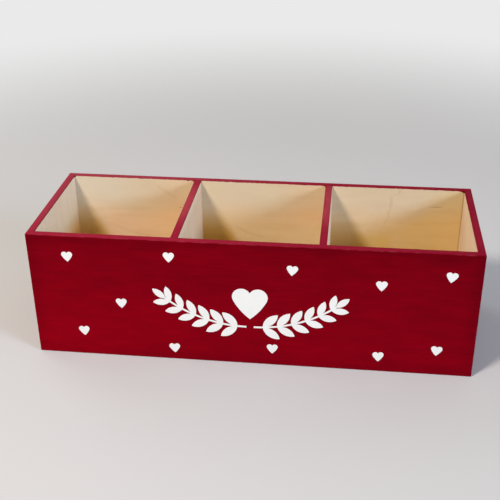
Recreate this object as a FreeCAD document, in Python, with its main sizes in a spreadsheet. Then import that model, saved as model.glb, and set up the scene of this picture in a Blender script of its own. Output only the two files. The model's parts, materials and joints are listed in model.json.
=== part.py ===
import FreeCAD
import Part
import Sketcher
import math
import os

# A three-bay pencil holder made from plywood sheet: two long walls, two end walls, two dividers and
# a bottom, butted, glued and pinned, with small white film stickers on the front.
#
# +X runs to the right along the front, +Y from the front wall to the back wall, +Z up.
# The origin lies on the surface that the box stands on, under its middle.

doc = FreeCAD.newDocument("PencilHolder")
sizes = doc.addObject("Spreadsheet::Sheet", "Sizes")

# The driving sizes, in millimetres and degrees
box = [
    ("box_length", 300, "outside, left to right"),
    ("box_depth", 103, "outside, front to back"),
    ("box_height", 93, "from the table to the rim"),
    ("ply_thickness", 5, "sheet of the four walls"),
    ("divider_thickness", 5, "sheet of the two dividers"),
    ("bottom_thickness", 5, "sheet of the bottom, which lies between the walls"),
    ("left_bay_width", 92.2, "clear width of the left bay"),
    ("middle_bay_width", 92.6, "clear width of the middle bay; the right bay takes the rest"),
    ("edge_round", 0.6, "sanded round on the outer edges"),
]
pins = [
    ("pin_diameter", 0.64, "headless wire pin"),
    ("pin_length", 15, "headless wire pin"),
    ("pin_set_depth", 0.6, "how far a pin is sunk; filler closes the hole above it"),
    ("joint_pins", 3, "pins in each upright joint"),
    ("joint_pin_margin", 12, "from the rim, and from the table, to the nearest pin"),
    ("long_side_pins", 4, "pins through each long wall into the bottom"),
    ("long_side_pin_margin", 40, "from the ends of the box to the nearest of them"),
    ("end_side_pins", 2, "pins through each end wall into the bottom"),
    ("end_side_pin_margin", 25, "from the front and the back to the nearest of them"),
]
stickers = [
    ("film_thickness", 0.15, "cut sticker film"),
    ("heart_width", 7.5, "small heart"),
    ("heart_height", 7.4, "small heart"),
    ("heart_lobe_radius", 2, "small heart"),
    ("heart_side_radius", 14, "small heart"),
    ("big_heart_width", 24, "heart in the middle of the ornament"),
    ("big_heart_height", 23.4, "heart in the middle of the ornament"),
    ("big_heart_lobe_radius", 6.4, "heart in the middle of the ornament"),
    ("big_heart_side_radius", 43, "heart in the middle of the ornament"),
    ("big_heart_level", 48, "height of its middle above the table"),
    ("stem_level", 30, "height of the lowest point of the sprigs' stems"),
    ("stem_gap", 2.5, "from the middle of the box to the start of a stem"),
    ("stem_radius", 88, "curve of a stem"),
    ("stem_sweep_angle", 40, "angle that a stem turns through"),
    ("stem_width", 1.3, "width of a stem"),
    ("leaf_pairs", 6, "pairs of leaves on each stem"),
    ("leaf_start_angle", 4, "angle from the start of the stem to the first pair"),
    ("leaf_step_angle", 6.4, "angle from one pair to the next"),
    ("leaf_length", 14.2, "first leaves"),
    ("leaf_width", 5.9, "first leaves"),
    ("leaf_shrink", 0.96, "size of a pair over the one before it"),
    ("leaf_splay_angle", 40, "angle between a leaf and the stem"),
    ("end_leaf_overlap_angle", 1.5, "angle by which the stem runs into its end leaf"),
]

# Each small heart: what its middle is measured from sideways and upwards, the two distances, and
# how far it leans to the right
hearts = [
    ("left_edge", 27.4, "rim", 15.6, -2),
    ("left_edge", 33.8, "table", 19.2, -4),
    ("left_of_ornament", 22.1, "table", 43.2, -1),
    ("left_of_middle", 53.6, "rim", 12.4, 1),
    ("left_of_middle", 52.7, "table", 9.2, -3),
    ("right_of_middle", 15.1, "table", 13.1, 0),
    ("right_of_middle", 28, "rim", 17.8, 5),
    ("right_of_ornament", 20.2, "rim", 25.9, -1),
    ("right_of_ornament", 20.9, "table", 11.9, -2),
    ("right_edge", 24.8, "table", 19.3, 4),
    ("right_edge", 19.9, "rim", 17, 6),
]
for number, (side, sideways, base, upwards, lean) in enumerate(hearts, start=1):
    stickers.append((f"heart_{number:02d}_sideways", sideways, f"distance, {side.replace('_', ' ')}"))
    stickers.append((f"heart_{number:02d}_upwards", upwards, f"distance from the {base}"))
    stickers.append((f"heart_{number:02d}_lean_angle", lean, "turn to the right"))

for row, (alias, value, note) in enumerate(box + pins + stickers, start=1):
    sizes.set(f"A{row}", alias)
    sizes.set(f"B{row}", str(value))
    sizes.set(f"C{row}", note)
    sizes.setAlias(f"B{row}", alias)
doc.recompute()


def measure(text):
    return float(sizes.evalExpression(text))


# Places that several pieces share, as formulas on the sheet
half_length = "Sizes.box_length / 2"
half_depth = "Sizes.box_depth / 2"
inner_length = "(Sizes.box_length - 2 * Sizes.ply_thickness)"
inner_depth = "(Sizes.box_depth - 2 * Sizes.ply_thickness)"
left_divider_x = (
    "(-Sizes.box_length / 2 + Sizes.ply_thickness + Sizes.left_bay_width + Sizes.divider_thickness / 2)"
)
right_divider_x = f"({left_divider_x} + Sizes.divider_thickness + Sizes.middle_bay_width)"
corner_x = "(Sizes.box_length / 2 - Sizes.ply_thickness / 2)"
bottom_pin_z = "(Sizes.bottom_thickness / 2)"
long_pin_depth = "(Sizes.pin_set_depth + Sizes.pin_length - Sizes.ply_thickness)"
end_leaf_turn = "(Sizes.stem_sweep_angle - Sizes.end_leaf_overlap_angle)"


def spread(count, first, last):
    # formulas of evenly spaced places, from first to last
    return [f"({first} + {i} * ({last} - {first}) / ({count} - 1))" for i in range(round(measure(count)))]


joint_heights = spread(
    "Sizes.joint_pins", "Sizes.joint_pin_margin", "(Sizes.box_height - Sizes.joint_pin_margin)"
)
long_side_places = spread(
    "Sizes.long_side_pins",
    "(Sizes.long_side_pin_margin - Sizes.box_length / 2)",
    "(Sizes.box_length / 2 - Sizes.long_side_pin_margin)",
)
end_side_places = spread(
    "Sizes.end_side_pins",
    "(Sizes.end_side_pin_margin - Sizes.box_depth / 2)",
    "(Sizes.box_depth / 2 - Sizes.end_side_pin_margin)",
)
end_joints = [(x, z) for x in (f"-{corner_x}", corner_x) for z in joint_heights]
divider_joints = [(x, z) for x in (left_divider_x, right_divider_x) for z in joint_heights]
long_side_joints = [(x, bottom_pin_z) for x in long_side_places]
end_side_joints = [(y, bottom_pin_z) for y in end_side_places]


def new_body(label, many=False):
    body = doc.addObject("PartDesign::Body", label)
    body.Label = label
    body.AllowCompound = many
    return body


def put(body, x="0", y="0", z="0", lean=None):
    for axis, text in zip("xyz", (x, y, z)):
        body.setExpression(f"Placement.Base.{axis}", text)
    if lean:
        body.Placement = FreeCAD.Placement(FreeCAD.Vector(), FreeCAD.Rotation(FreeCAD.Vector(0, 1, 0), 1))
        body.setExpression("Placement.Rotation.Angle", lean)


def new_sketch(body, name, role, offset="0", turn=None):
    plane = next(item for item in body.Origin.OriginFeatures if item.Role == role)
    sketch = body.newObject("Sketcher::SketchObject", f"{body.Label}_{name}")
    sketch.AttachmentSupport = (plane, [""])
    sketch.MapMode = "FlatFace"
    sketch.setExpression("AttachmentOffset.Base.z", offset)
    if turn:
        sketch.AttachmentOffset = FreeCAD.Placement(
            FreeCAD.Vector(), FreeCAD.Rotation(FreeCAD.Vector(0, 0, 1), 1)
        )
        sketch.setExpression("AttachmentOffset.Rotation.Angle", turn)
    return sketch


def dimension(sketch, name, kind, *where, text):
    value = math.radians(measure(text)) if kind == "Angle" else measure(text)
    index = sketch.addConstraint(Sketcher.Constraint(kind, *where, value))
    sketch.renameConstraint(index, name)
    sketch.setExpression(f"Constraints.{name}", f"({text}) * 1 deg" if kind == "Angle" else text)


def tie(sketch, kind, *where):
    sketch.addConstraint(Sketcher.Constraint(kind, *where))


def arc(centre_x, centre_y, radius, start, end):
    # runs anticlockwise from the start angle to the end angle, in radians
    circle = Part.Circle(FreeCAD.Vector(centre_x, centre_y, 0), FreeCAD.Vector(0, 0, 1), radius)
    return Part.ArcOfCircle(circle, start, end)


# In a sketch, -1 is the horizontal axis, -2 the vertical one, and (-1, 1) the origin
def rectangle(sketch, width, height, centred=False):
    # centred sideways; upwards it stands on the origin, or is centred there too
    w, h = measure(width) / 2, measure(height)
    low = -h / 2 if centred else 0
    corners = [FreeCAD.Vector(x, y, 0) for x, y in ((-w, low), (w, low), (w, low + h), (-w, low + h))]
    for i in range(4):
        sketch.addGeometry(Part.LineSegment(corners[i], corners[(i + 1) % 4]))
    for i in range(4):
        tie(sketch, "Coincident", i, 2, (i + 1) % 4, 1)
    for i in (1, 3):
        tie(sketch, "Vertical", i)
    tie(sketch, "Horizontal", 2)
    dimension(sketch, "width", "DistanceX", 0, 1, 0, 2, text=width)
    dimension(sketch, "height", "DistanceY", 1, 1, 1, 2, text=height)
    if centred:
        tie(sketch, "Horizontal", 0)
        tie(sketch, "Symmetric", 0, 1, 2, 1, -1, 1)
    else:
        tie(sketch, "Symmetric", 0, 1, 0, 2, -2)
        tie(sketch, "PointOnObject", 0, 1, -1)


def pin_circles(sketch, places):
    radius = measure("Sizes.pin_diameter / 2")
    for i, (x, y) in enumerate(places):
        centre = FreeCAD.Vector(measure(x), measure(y), 0)
        sketch.addGeometry(Part.Circle(centre, FreeCAD.Vector(0, 0, 1), radius))
        dimension(sketch, f"across_{i}", "DistanceX", -1, 1, i, 3, text=x)
        dimension(sketch, f"up_{i}", "DistanceY", -1, 1, i, 3, text=y)
        if i:
            tie(sketch, "Equal", 0, i)
    dimension(sketch, "bore", "Diameter", 0, text="Sizes.pin_diameter")


def pad(body, name, sketch, length, flip=False, midplane=False):
    feature = body.newObject("PartDesign::Pad", f"{body.Label}_{name}")
    feature.Profile = sketch
    feature.setExpression("Length", length)
    feature.Reversed = flip
    feature.Midplane = midplane
    doc.recompute()
    return feature


cut_tolerance = 0.01


# A pin goes in square to a face. "side" is 1 for a face on the side that its plane's normal points
# to, which is the front for the XZ plane and the right for the YZ plane, and -1 for the other face.
def pin_holes(body, name, role, side, face, places, depth):
    before = body.Shape.Volume
    sketch = new_sketch(body, f"{name}_places", role, f"{side} * {face}")
    pin_circles(sketch, places)
    feature = body.newObject("PartDesign::Pocket", f"{body.Label}_{name}")
    feature.Profile = sketch
    feature.setExpression("Length", depth)
    feature.Reversed = side < 0
    doc.recompute()
    bored = len(places) * math.pi * measure("Sizes.pin_diameter / 2") ** 2 * measure(depth)
    if abs(before - body.Shape.Volume - bored) > cut_tolerance * bored:
        raise RuntimeError(f"{body.Label}: {name} cut {before - body.Shape.Volume:.3f}, not {bored:.3f}")


def driven_rods(body, name, role, side, start, places, length):
    sketch = new_sketch(body, f"{name}_places", role, f"{side} * {start}")
    pin_circles(sketch, places)
    pad(body, name, sketch, length, flip=side > 0)


def round_edges(body, base, chosen):
    names = [f"Edge{i}" for i, edge in enumerate(base.Shape.Edges, start=1) if chosen(edge)]
    feature = body.newObject("PartDesign::Fillet", f"{body.Label}_round")
    feature.Base = (base, names)
    feature.setExpression("Radius", "Sizes.edge_round")
    doc.recompute()


touching = 1e-6
across = FreeCAD.Vector(1, 0, 0)
along = FreeCAD.Vector(0, 1, 0)


def on_outer_face(edge, normal):
    return [abs(vertex.Point.dot(normal)) < touching for vertex in edge.Vertexes]


# The long walls run the whole length and cover the ends of the end walls, dividers and bottom.
# The outer face is at the body's own y = 0.
def long_wall(label, side):
    body = new_body(label)
    outline = new_sketch(body, "outline", "XZ_Plane")
    rectangle(outline, "Sizes.box_length", "Sizes.box_height")
    sheet = pad(body, "sheet", outline, "Sizes.ply_thickness", flip=side > 0)
    round_edges(body, sheet, lambda edge: any(on_outer_face(edge, along)))
    places = end_joints + divider_joints + long_side_joints
    pin_holes(body, "pin_holes", "XZ_Plane", side, "0", places, "Sizes.ply_thickness")
    put(body, y=f"{-side} * {half_depth}")
    return body


# The end walls stand between the long walls. The outer face is at the body's own x = 0.
def end_wall(label, side):
    body = new_body(label)
    outline = new_sketch(body, "outline", "YZ_Plane")
    rectangle(outline, inner_depth, "Sizes.box_height")
    sheet = pad(body, "sheet", outline, "Sizes.ply_thickness", flip=side > 0)

    def is_outer_level(edge):
        first, last = (vertex.Point.z for vertex in edge.Vertexes)
        return abs(first - last) < touching and all(on_outer_face(edge, across))

    round_edges(body, sheet, is_outer_level)
    edge_places = [(f"{-side} * Sizes.ply_thickness / 2", z) for z in joint_heights]
    for name, way in (("front_pin_holes", 1), ("back_pin_holes", -1)):
        pin_holes(body, name, "XZ_Plane", way, f"{inner_depth} / 2", edge_places, long_pin_depth)
    pin_holes(body, "bottom_pin_holes", "YZ_Plane", side, "0", end_side_joints, "Sizes.ply_thickness")
    put(body, x=f"{side} * {half_length}")
    return body


# The dividers stand on the bottom, between the long walls, and end flush with the rim.
def divider(label, x):
    body = new_body(label)
    outline = new_sketch(body, "outline", "YZ_Plane")
    rectangle(outline, inner_depth, "Sizes.box_height - Sizes.bottom_thickness")
    pad(body, "sheet", outline, "Sizes.divider_thickness", midplane=True)
    edge_places = [("0", f"{z} - Sizes.bottom_thickness") for z in joint_heights]
    for name, way in (("front_pin_holes", 1), ("back_pin_holes", -1)):
        pin_holes(body, name, "XZ_Plane", way, f"{inner_depth} / 2", edge_places, long_pin_depth)
    put(body, x=x, z="Sizes.bottom_thickness")
    return body


def bottom(label):
    body = new_body(label)
    outline = new_sketch(body, "outline", "XY_Plane")
    rectangle(outline, inner_length, inner_depth, centred=True)
    pad(body, "sheet", outline, "Sizes.bottom_thickness")
    for name, way in (("front_pin_holes", 1), ("back_pin_holes", -1)):
        pin_holes(body, name, "XZ_Plane", way, f"{inner_depth} / 2", long_side_joints, long_pin_depth)
    for name, way in (("right_pin_holes", 1), ("left_pin_holes", -1)):
        pin_holes(body, name, "YZ_Plane", way, f"{inner_length} / 2", end_side_joints, long_pin_depth)
    return body


# Pins and the plugs of filler over them, one body for each kind of joint
def fastened(label, joints):
    pins_body = new_body(f"{label}_pins", many=True)
    filler_body = new_body(f"{label}_filler", many=True)
    for name, role, side, face, places in joints:
        sunk = f"({face} - Sizes.pin_set_depth)"
        driven_rods(pins_body, name, role, side, sunk, places, "Sizes.pin_length")
        driven_rods(filler_body, name, role, side, face, places, "Sizes.pin_set_depth")
    return [pins_body, filler_body]


# A heart centred on its bounding box: two lobes and two flatter sides, each tangent to its lobe
def heart_outline(sketch, width, height, lobe, side):
    w, h, r, s = (measure(text) for text in (width, height, lobe, side))
    lobe_x, lobe_y, tip_y = w / 2 - r, h / 2 - r, -h / 2
    # the side's centre is s from the tip and s - r from the lobe's centre
    reach = math.hypot(lobe_x, lobe_y - tip_y)
    foot = (s**2 - (s - r) ** 2 + reach**2) / (2 * reach)
    lift = math.sqrt(s**2 - foot**2)
    side_x = (foot * lobe_x - lift * (lobe_y - tip_y)) / reach
    side_y = tip_y + (foot * (lobe_y - tip_y) + lift * lobe_x) / reach
    join = math.atan2(lobe_y - side_y, lobe_x - side_x)
    notch = math.atan2(math.sqrt(r**2 - lobe_x**2), -lobe_x)
    tip = math.atan2(tip_y - side_y, -side_x)
    sketch.addGeometry(arc(lobe_x, lobe_y, r, join, notch))
    sketch.addGeometry(arc(-lobe_x, lobe_y, r, math.pi - notch, math.pi - join))
    sketch.addGeometry(arc(-side_x, side_y, s, math.pi - join, math.pi - tip))
    sketch.addGeometry(arc(side_x, side_y, s, tip, join))
    tie(sketch, "Coincident", 0, 2, 1, 1)
    tie(sketch, "Tangent", 1, 2, 2, 1)
    tie(sketch, "Coincident", 2, 2, 3, 1)
    tie(sketch, "Tangent", 3, 2, 0, 1)
    tie(sketch, "Symmetric", 0, 3, 1, 3, -2)
    tie(sketch, "PointOnObject", 3, 1, -2)
    tie(sketch, "Equal", 0, 1)
    tie(sketch, "Equal", 2, 3)
    dimension(sketch, "lobe_x", "DistanceX", -1, 1, 0, 3, text=f"{width} / 2 - {lobe}")
    dimension(sketch, "lobe_y", "DistanceY", -1, 1, 0, 3, text=f"{height} / 2 - {lobe}")
    dimension(sketch, "lobe", "Radius", 0, text=lobe)
    dimension(sketch, "side", "Radius", 3, text=side)
    dimension(sketch, "tip", "DistanceY", 3, 1, -1, 1, text=f"{height} / 2")


def heart_sticker(label, kind, x, z, lean=None):
    body = new_body(label)
    outline = new_sketch(body, "outline", "XZ_Plane")
    shape = (f"Sizes.{kind}_{name}" for name in ("width", "height", "lobe_radius", "side_radius"))
    heart_outline(outline, *shape)
    pad(body, "film", outline, "Sizes.film_thickness")
    put(body, x=x, y=f"-{half_depth}", z=z, lean=lean)
    return body


# A leaf of two equal arcs from its foot, straight below the origin, to its tip
def leaf(sketch, name, foot, length, width, tip_x, tip_rise):
    first = sketch.GeometryCount
    radius = f"({length} ^ 2 / (4 * {width}) + {width} / 4)"
    rise, run, r = measure(tip_rise), measure(tip_x), measure(radius)
    foot_y = -measure(foot)
    heading = math.atan2(rise, run)
    half_turn = math.asin(measure(length) / 2 / r)
    off_axis = r * math.cos(half_turn)
    for hand in (1, -1):
        away = heading + hand * math.pi / 2
        centre_x = run / 2 + off_axis * math.cos(away)
        centre_y = foot_y + rise / 2 + off_axis * math.sin(away)
        back = away + math.pi
        sketch.addGeometry(arc(centre_x, centre_y, r, back - half_turn, back + half_turn))
    # the first arc runs from the foot to the tip, the second from the tip to the foot
    tie(sketch, "Coincident", first, 2, first + 1, 1)
    tie(sketch, "Coincident", first + 1, 2, first, 1)
    tie(sketch, "Equal", first, first + 1)
    tie(sketch, "PointOnObject", first, 1, -2)
    dimension(sketch, f"{name}_foot", "DistanceY", first, 1, -1, 1, text=foot)
    dimension(sketch, f"{name}_bend", "Radius", first, text=radius)
    dimension(sketch, f"{name}_run", "DistanceX", first, 1, first, 2, text=tip_x)
    if rise:
        dimension(sketch, f"{name}_rise", "DistanceY", first, 1, first, 2, text=tip_rise)
    else:
        tie(sketch, "Horizontal", first, 1, first, 2)


# A stem is an arc about the body's own origin, and starts straight below it. A pair of leaves is
# drawn at the start of the stem and then turned about the origin to its place.
def sprig(label, side):
    body = new_body(label)
    stem = new_sketch(body, "stem", "XZ_Plane")
    radius, width = measure("Sizes.stem_radius"), measure("Sizes.stem_width")
    down = -math.pi / 2
    sweep = math.radians(measure("Sizes.stem_sweep_angle"))
    start, end = (down, down + sweep) if side > 0 else (down - sweep, down)
    for r in (radius - width / 2, radius + width / 2):
        stem.addGeometry(arc(0, 0, r, start, end))
    ends = [FreeCAD.Vector(math.cos(a), math.sin(a), 0) for a in (start, end)]
    for direction in ends:
        near, far = direction * (radius - width / 2), direction * (radius + width / 2)
        stem.addGeometry(Part.LineSegment(near, far))
    for i, point in ((2, 1), (3, 2)):
        tie(stem, "Coincident", 0, point, i, 1)
        tie(stem, "Coincident", 1, point, i, 2)
    for i in (0, 1):
        tie(stem, "Coincident", i, 3, -1, 1)
    root = 2 if side > 0 else 3
    tie(stem, "Vertical", root)
    dimension(stem, "inner", "Radius", 0, text="Sizes.stem_radius - Sizes.stem_width / 2")
    dimension(stem, "outer", "Radius", 1, text="Sizes.stem_radius + Sizes.stem_width / 2")
    dimension(stem, "sweep", "Angle", 2, 1, 3, 1, text="Sizes.stem_sweep_angle")
    pad(body, "stem_film", stem, "Sizes.film_thickness")
    pairs = round(measure("Sizes.leaf_pairs"))
    for i in range(pairs):
        place = f"{side} * (Sizes.leaf_start_angle + {i} * Sizes.leaf_step_angle)"
        sketch = new_sketch(body, f"pair_{i}", "XZ_Plane", turn=place)
        length, width = (f"(Sizes.leaf_{size} * Sizes.leaf_shrink ^ {i})" for size in ("length", "width"))
        run = f"{side} * {length} * cos(Sizes.leaf_splay_angle)"
        for name, hand in (("upper", 1), ("lower", -1)):
            foot = f"(Sizes.stem_radius - {hand} * Sizes.stem_width / 4)"
            leaf(sketch, name, foot, length, width, run, f"{hand} * {length} * sin(Sizes.leaf_splay_angle)")
        pad(body, f"pair_{i}_film", sketch, "Sizes.film_thickness")
    tip = new_sketch(body, "tip", "XZ_Plane", turn=f"{side} * {end_leaf_turn}")
    length, width = (f"(Sizes.leaf_{size} * Sizes.leaf_shrink ^ {pairs})" for size in ("length", "width"))
    leaf(tip, "end", "Sizes.stem_radius", length, width, f"{side} * {length}", "0")
    pad(body, "tip_film", tip, "Sizes.film_thickness")
    put(
        body,
        x=f"{side} * Sizes.stem_gap",
        y=f"-{half_depth}",
        z="Sizes.stem_level + Sizes.stem_radius",
    )
    return body


pieces = [
    long_wall("front_panel", 1),
    long_wall("back_panel", -1),
    end_wall("left_end_panel", -1),
    end_wall("right_end_panel", 1),
    divider("left_divider", left_divider_x),
    divider("right_divider", right_divider_x),
    bottom("bottom_panel"),
]
long_faces = [("front", "XZ_Plane", 1, half_depth), ("back", "XZ_Plane", -1, half_depth)]
end_faces = [("right", "YZ_Plane", 1, half_length), ("left", "YZ_Plane", -1, half_length)]
pieces += fastened("end_joint", [(*face, end_joints) for face in long_faces])
pieces += fastened("divider_joint", [(*face, divider_joints) for face in long_faces])
pieces += fastened(
    "bottom_joint",
    [(*face, long_side_joints) for face in long_faces] + [(*face, end_side_joints) for face in end_faces],
)

# The ornament: a heart between two mirrored sprigs
pieces.append(heart_sticker("ornament_heart", "big_heart", "0", "Sizes.big_heart_level"))
pieces.append(sprig("ornament_right_sprig", 1))
pieces.append(sprig("ornament_left_sprig", -1))

# The small hearts keep their distance from the nearest edge or from the ornament
ornament_reach = (
    f"(Sizes.stem_gap + Sizes.stem_radius * sin{end_leaf_turn}"
    f" + Sizes.leaf_length * Sizes.leaf_shrink ^ Sizes.leaf_pairs * cos{end_leaf_turn})"
)
sideways_from = {
    "left_edge": "-Sizes.box_length / 2 +",
    "right_edge": "Sizes.box_length / 2 -",
    "left_of_middle": "-",
    "right_of_middle": "",
    "left_of_ornament": f"-{ornament_reach} -",
    "right_of_ornament": f"{ornament_reach} +",
}
upwards_from = {"table": "", "rim": "Sizes.box_height -"}
for number, (side, _, base, _, _) in enumerate(hearts, start=1):
    cell = f"Sizes.heart_{number:02d}"
    x = f"{sideways_from[side]} {cell}_sideways"
    z = f"{upwards_from[base]} {cell}_upwards"
    pieces.append(heart_sticker(f"heart_sticker_{number:02d}", "heart", x, z, f"{cell}_lean_angle"))

doc.recompute()
for item in doc.Objects:
    if {"Invalid", "Error"} & set(item.State):
        raise RuntimeError(f"{item.Label} failed: {item.State}")
for piece in pieces:
    if piece.Shape.isNull() or not piece.Shape.isValid():
        raise RuntimeError(f"{piece.Label} has no valid shape")

os.makedirs("parts", exist_ok=True)
for piece in pieces:
    piece.Shape.exportStep(f"parts/{piece.Label}.step")
    print(f"{piece.Label}: {len(piece.Shape.Solids)} solids, {piece.Shape.Volume:.2f} mm3")
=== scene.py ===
import json
import math
import bpy
import numpy as np
from mathutils import Matrix, Vector


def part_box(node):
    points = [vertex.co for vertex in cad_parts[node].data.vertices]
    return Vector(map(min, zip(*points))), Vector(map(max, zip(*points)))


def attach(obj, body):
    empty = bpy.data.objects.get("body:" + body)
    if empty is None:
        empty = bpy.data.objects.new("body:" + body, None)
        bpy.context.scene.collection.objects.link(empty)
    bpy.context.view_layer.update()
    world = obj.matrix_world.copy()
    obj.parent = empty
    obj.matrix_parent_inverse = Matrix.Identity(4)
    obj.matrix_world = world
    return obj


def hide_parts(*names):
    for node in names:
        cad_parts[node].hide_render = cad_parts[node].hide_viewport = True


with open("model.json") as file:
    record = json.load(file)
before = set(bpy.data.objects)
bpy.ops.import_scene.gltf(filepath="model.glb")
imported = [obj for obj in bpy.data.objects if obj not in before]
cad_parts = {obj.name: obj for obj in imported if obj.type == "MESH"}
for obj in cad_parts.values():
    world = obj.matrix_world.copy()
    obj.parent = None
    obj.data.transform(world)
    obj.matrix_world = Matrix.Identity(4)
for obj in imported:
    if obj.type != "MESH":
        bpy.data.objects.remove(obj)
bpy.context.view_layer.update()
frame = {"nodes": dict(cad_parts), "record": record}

# A three-bay pencil box of birch ply: crimson stain outside and on the rims, bare wood inside,
# white film stickers on the front. Lengths are in millimetres until they go into Blender.
mm = 0.001


def nodeBox(name):
    low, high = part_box(name)
    return np.array(low) / mm, np.array(high) / mm


frontLow, frontHigh = nodeBox("front_panel")
backLow, backHigh = nodeBox("back_panel")
leftLow, leftHigh = nodeBox("left_end_panel")
rightLow, rightHigh = nodeBox("right_end_panel")
leftDividerLow, leftDividerHigh = nodeBox("left_divider")
rightDividerLow, rightDividerHigh = nodeBox("right_divider")
bottomLow, bottomHigh = nodeBox("bottom_panel")
rim = frontHigh[2]
endFace = frontHigh[0]      # outer face of the end walls, left and right of the middle
insideFront = frontHigh[1]
insideBack = backLow[1]
thickness = frontHigh[1] - frontLow[1]
bays = [
    (leftHigh[0], leftDividerLow[0]),
    (leftDividerHigh[0], rightDividerLow[0]),
    (rightDividerHigh[0], rightLow[0]),
]
boxSize = (endFace * 2, backHigh[1] - frontLow[1], rim)
print("frame loaded, box", " x ".join(str(side.round(2)) for side in boxSize))

# The camera, worked out from the box's own edges in the photograph
camera = {
    "place": (62.91, -556.46, 361.96),
    "turn": -7.048,       # degrees to the right of straight ahead
    "tilt": 28.201,       # degrees down
    "roll": 0.577,
    "lens": 64.352,       # and the width of the sensor behind it
    "sensor": 36,
    "near": 0.01,         # what it sees starts and ends at these, in metres
    "far": 100,
}


def placeCamera():
    turn, tilt, roll = (math.radians(camera[name]) for name in ("turn", "tilt", "roll"))
    ahead = np.array([math.sin(turn) * math.cos(tilt), math.cos(turn) * math.cos(tilt), -math.sin(tilt)])
    level = np.array([math.cos(turn), -math.sin(turn), 0])
    down = np.cross(ahead, level)
    right = level * math.cos(roll) + down * math.sin(roll)
    up = level * math.sin(roll) - down * math.cos(roll)
    data = bpy.data.cameras.new("photoCamera")
    data.lens = camera["lens"]
    data.sensor_width = camera["sensor"]
    data.clip_start = camera["near"]
    data.clip_end = camera["far"]
    holder = bpy.data.objects.new("photoCamera", data)
    matrix = Matrix.Identity(4)
    for column, direction in enumerate((right, up, -ahead, np.array(camera["place"]) * mm)):
        for row in range(3):
            matrix[row][column] = direction[row]
    holder.matrix_world = matrix
    bpy.context.scene.collection.objects.link(holder)
    bpy.context.scene.camera = holder


placeCamera()
print("camera placed")

# How the sheets are cut and sanded
sheet = {
    "arris": 0.6,            # sanded round on the outer edges
    "innerArris": 0.32,      # lighter round on the inner rim edges
    "seam": 0.07,            # round on edges that meet another piece
    "fade": 2.5,             # length over which a round runs out before a joint
    "sandedOff": 0.02,       # how far the sheet's faces lie inside the fillers, which stand proud of them
    "unevenness": 0.03,      # how deep the faces wave, and how long the waves are
    "waveLength": 60.0,
    "edgeWander": 0.22,      # share by which a round grows and shrinks along the edge
    "edgeWanderLength": 9.0,
    "edgeSteps": (0, 0.03, 0.07, 0.12, 0.18, 0.25, 0.32, 0.4, 0.5, 0.6, 0.85, 1.2),
    "spacing": 2.5,          # of the grid's lines, which start from an edge with the steps above
    "weld": 0.0001,          # points nearer than this are one
}


def ripple(first, second, seed, length, waves=7, shortest=0.35):
    # a sum of sine waves in random directions, from -1 to 1; "length" is that of the longest wave, and
    # "shortest" is the shortest one's share of it
    draw = np.random.default_rng(seed)
    total = np.zeros(np.shape(first))
    for turn, phase, share in draw.uniform(0, 1, (waves, 3)):
        angle = turn * 2 * math.pi
        wave = length * (shortest + (1 - shortest) * share)
        reach = (first * math.cos(angle) + second * math.sin(angle)) / wave
        total += np.sin(2 * math.pi * (reach + phase))
    return total / waves


def gridLines(low, high):
    # close together near both edges, where the rounds are, and evenly spaced between
    near = np.array(sheet["edgeSteps"])
    steps = max(2, round((high - low) / sheet["spacing"]))
    middle = np.linspace(low + near[-1], high - near[-1], steps + 1)
    return np.concatenate([low + near[:-1], middle, high - near[-2::-1]])


def boxSurface(low, high):
    # six flat grids, one on each face of a box, welded along its twelve edges
    lines = [gridLines(low[axis], high[axis]) for axis in range(3)]
    points = []
    faces = []
    count = 0
    for axis in range(3):
        first, second = (axis + 1) % 3, (axis + 2) % 3
        across, upwards = np.meshgrid(lines[first], lines[second], indexing="ij")
        index = np.arange(across.size).reshape(across.shape)
        corners = [index[:-1, :-1], index[1:, :-1], index[1:, 1:], index[:-1, 1:]]
        quads = np.stack(corners, axis=-1).reshape(-1, 4)
        for side, order in ((low, quads[:, ::-1]), (high, quads)):
            grid = np.empty(across.shape + (3,))
            grid[..., first] = across
            grid[..., second] = upwards
            grid[..., axis] = side[axis]
            points.append(grid.reshape(-1, 3))
            faces.append(order + count)
            count += across.size
    points = np.concatenate(points)
    faces = np.concatenate(faces)
    keys = np.round(points / sheet["weld"]).astype(np.int64)
    _, kept, meaning = np.unique(keys, axis=0, return_index=True, return_inverse=True)
    return points[kept], meaning.reshape(-1)[faces]


def roundEdges(points, low, high, radiusOf):
    # for each of the three edge directions, a point nearer than the radius to both faces of an edge is
    # pulled in to the circle about the line that lies one radius inside both faces
    middle = (low + high) / 2
    for axis in range(3):
        pair = [other for other in range(3) if other != axis]
        sides = np.sign(points - middle)
        radius = radiusOf(axis, points[:, axis], sides[:, pair[0]], sides[:, pair[1]])
        core = np.clip(points[:, pair], low[pair] + radius[:, None], high[pair] - radius[:, None])
        away = points[:, pair] - core
        distance = np.hypot(away[:, 0], away[:, 1])
        pull = np.minimum(1, radius / np.maximum(distance, 1e-9))
        points[:, pair] = core + away * pull[:, None]
    return points


def sandedSheet(low, high, through, radiusOf, seed):
    # a ply sheet: rounded edges, and faces that wave inwards a little
    points, faces = boxSurface(low, high)
    points = roundEdges(points, low, high, radiusOf)
    first, second = (axis for axis in range(3) if axis != through)
    inward = -np.sign(points[:, through] - (low[through] + high[through]) / 2)
    wave = 0.5 + 0.5 * ripple(points[:, first], points[:, second], seed, sheet["waveLength"])
    points[:, through] += inward * (sheet["sandedOff"] + sheet["unevenness"] * wave)
    return points, faces


def makePiece(name, points, faces, node):
    mesh = bpy.data.meshes.new(name)
    mesh.from_pydata((points * mm).tolist(), [], faces.tolist(), shade_flat=False)
    mesh.update()
    piece = bpy.data.objects.new(name, mesh)
    bpy.context.scene.collection.objects.link(piece)
    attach(piece, "root")
    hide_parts(node)
    return piece


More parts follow.
